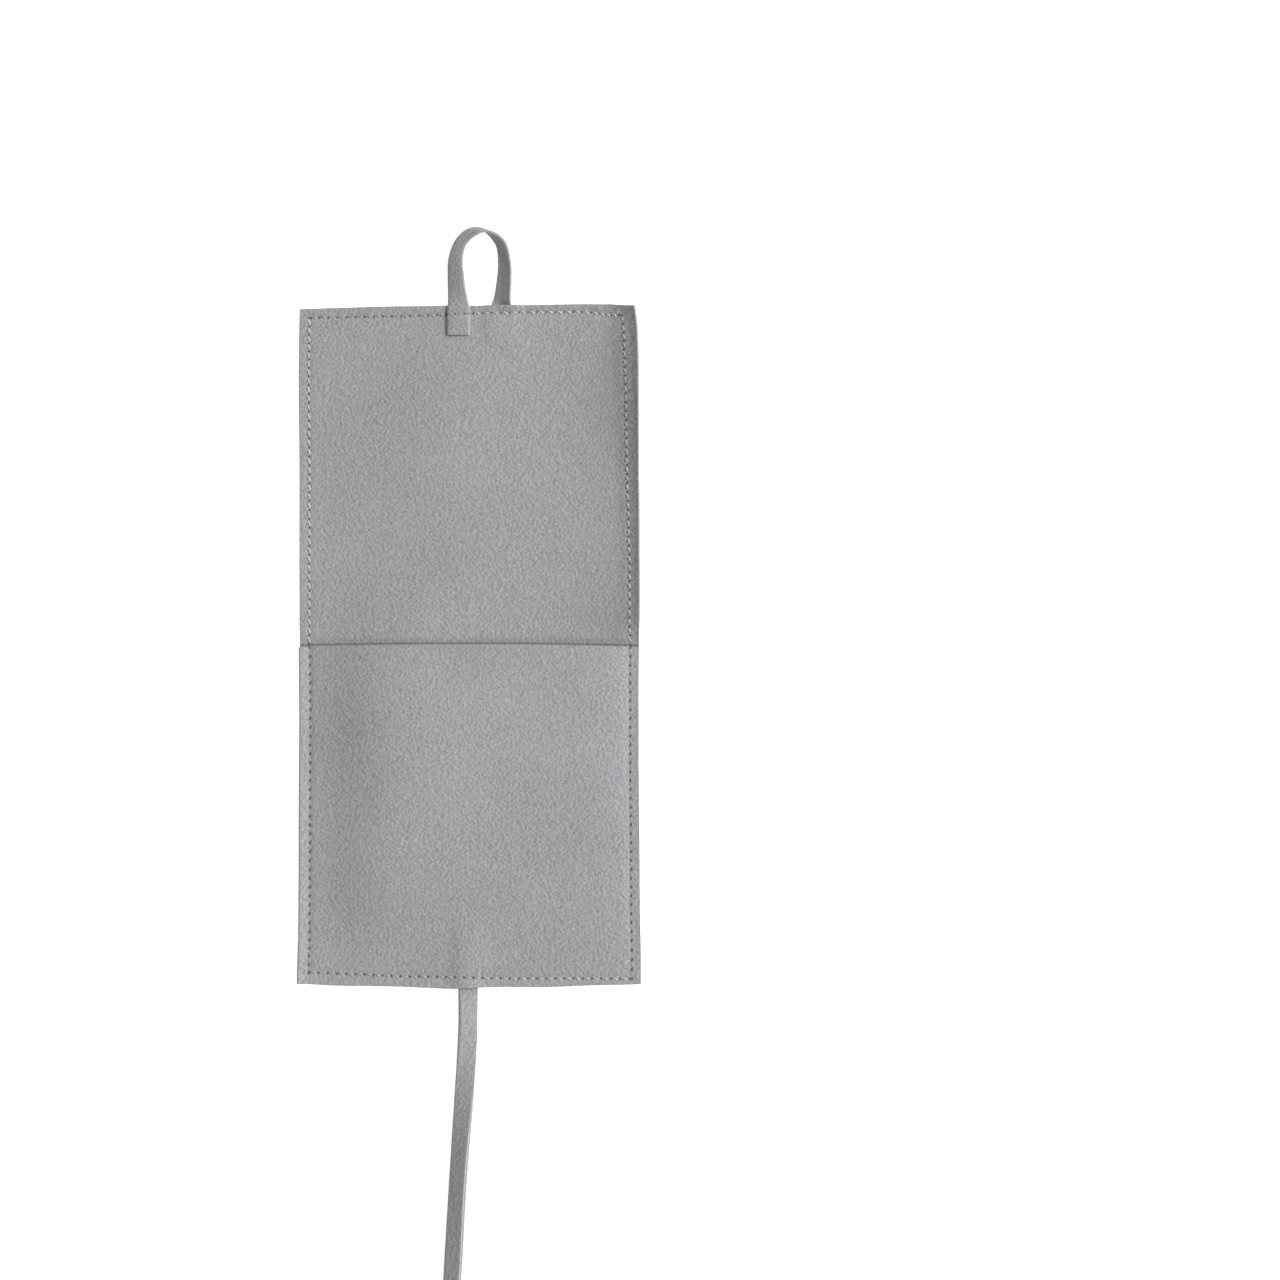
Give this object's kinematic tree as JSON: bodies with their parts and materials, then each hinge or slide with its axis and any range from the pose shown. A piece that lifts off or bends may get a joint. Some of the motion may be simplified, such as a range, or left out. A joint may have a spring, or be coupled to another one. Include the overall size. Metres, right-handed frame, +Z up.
{
  "type": "jewelry pouch",
  "caption": "Soft suede pouch with a sewn pocket, a lined flap that folds over it, a strap loop at the flap's edge and a ribbon tie at the bottom seam.",
  "frame": {"origin": "middle of the pocket's back, on the surface that the open pouch lies on", "axes": "+X across the pouch to the right in the picture, +Y from the pocket towards the flap's edge, +Z up out of the surface"},
  "size_m": [0.1, 0.3613, 0.0087],
  "materials": {
    "suede": "matte brushed suede",
    "strap": "matte brushed suede",
    "thread": "satin"
  },
  "bodies": {
    "pocket": {"pocket_back_shell": "suede", "pocket_back_lining": "suede", "pocket_front": "suede", "pocket_seam_left": "thread", "pocket_seam_right": "thread", "pocket_seam_bottom": "thread", "tie_sewn_fold": "strap", "tie_lower_tail": "strap", "tie_lower_curl": "strap", "tie_upper_tail": "strap", "tie_upper_curl": "strap"},
    "flap": {"flap_shell": "suede", "flap_lining": "suede", "flap_seam_left": "thread", "flap_seam_right": "thread", "flap_seam_top": "thread", "loop_front_tab": "strap", "loop_tucked_end": "strap"},
    "loop": {"loop_arch": "strap"}
  },
  "joints": [
    {"name": "flap_fold", "type": "hinge", "parent": "pocket", "child": "flap", "pos_m": [0, 0.05, 0.0055], "axis": [1, 0, 0], "range_deg": [0, 178]},
    {"name": "loop_swing", "type": "hinge", "parent": "flap", "child": "loop", "pos_m": [0, 0.1515, 0.00183], "axis": [1, 0, 0], "range_deg": [0, 15]}
  ]
}
